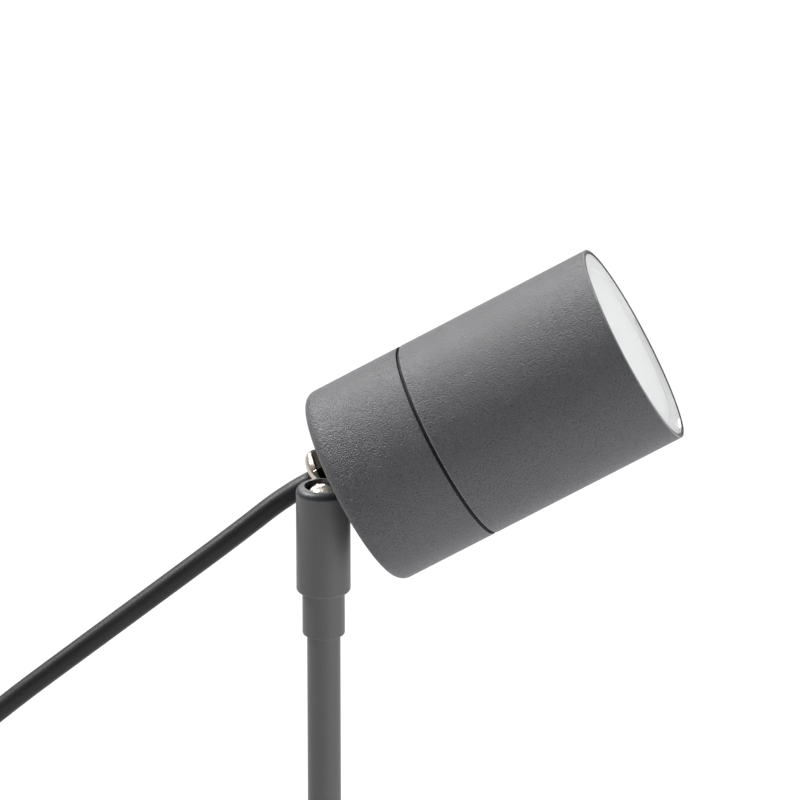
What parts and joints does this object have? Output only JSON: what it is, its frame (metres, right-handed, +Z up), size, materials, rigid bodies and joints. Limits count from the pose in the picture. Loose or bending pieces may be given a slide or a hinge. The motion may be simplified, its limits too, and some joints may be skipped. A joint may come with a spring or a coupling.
{
  "type": "garden spike spotlight",
  "caption": "Cylindrical garden spotlight on a thin rod with a ground spike, a ball joint under a union nut, and a rubber cable that leaves the back through a gland.",
  "frame": {"origin": "on the rod's axis at the ground line, on the underside of the spike's flange", "axes": "+Z up along the rod, +X the way the head is tilted, +Y to the side where the cable gland sits"},
  "size_m": [0.2966, 0.1042, 0.4878],
  "materials": {
    "powder_coat_head": "fine-texture anthracite powder coat",
    "powder_coat_stem": "smooth dark grey powder coat",
    "nickel": "polished nickel plate",
    "zinc_steel": "zinc-plated steel",
    "black_rubber": "matte rubber",
    "cable_rubber": "matte black-grey rubber sheath",
    "clear_glass": "clear toughened glass",
    "frosted_lens": "frosted white diffuser",
    "pale_plastic": "pale grey plastic",
    "white_plastic": "white lamp housing",
    "ceramic": "glazed ceramic",
    "brass": "turned brass",
    "spike_plastic": "moulded black plastic",
    "seat_plastic": "natural acetal",
    "core_insulation": "wire insulation"
  },
  "bodies": {
    "stem": {"ground_spike": "spike_plastic", "hub_screw": "zinc_steel", "rod": "powder_coat_stem", "sleeve": "powder_coat_stem", "sleeve_screw": "zinc_steel", "ball_seat": "seat_plastic", "friction_pad": "black_rubber"},
    "swivel": {"collar": "powder_coat_stem", "cable_lead": "cable_rubber", "cable_run": "cable_rubber", "cable_coil": "cable_rubber", "cable_tail": "cable_rubber", "plug_body": "black_rubber", "plug_clips": "brass", "plug_pins": "nickel"},
    "head": {"ball_stud": "nickel", "stud_washer": "zinc_steel", "stud_nut": "zinc_steel", "rear_cap": "powder_coat_head", "barrel_o_ring": "black_rubber", "front_barrel": "powder_coat_head", "front_glass": "clear_glass", "glass_seal": "black_rubber", "lamp_ring": "pale_plastic", "lamp_body": "white_plastic", "lamp_lens": "frosted_lens", "lamp_pins": "brass", "lamp_holder": "ceramic", "holder_bracket": "zinc_steel", "holder_screws": "zinc_steel", "bracket_screws": "zinc_steel", "gland_body": "nickel", "gland_bush": "black_rubber", "gland_cap": "nickel", "cable_entry": "cable_rubber", "terminal_block": "white_plastic", "terminal_screws": "brass", "earth_tag": "zinc_steel", "earth_screw": "brass", "cable_cores": "core_insulation", "holder_leads": "core_insulation"}
  },
  "joints": [
    {"name": "swivel", "type": "hinge", "parent": "stem", "child": "swivel", "pos_m": [0, 0, 0.24], "axis": [0, 0, 1], "range_deg": [-170, 170]},
    {"name": "head_tilt", "type": "hinge", "parent": "swivel", "child": "head", "pos_m": [0, 0, 0.24], "axis": [0, 1, 0], "range_deg": [-61, 29], "deforming": ["cable_lead"]}
  ]
}
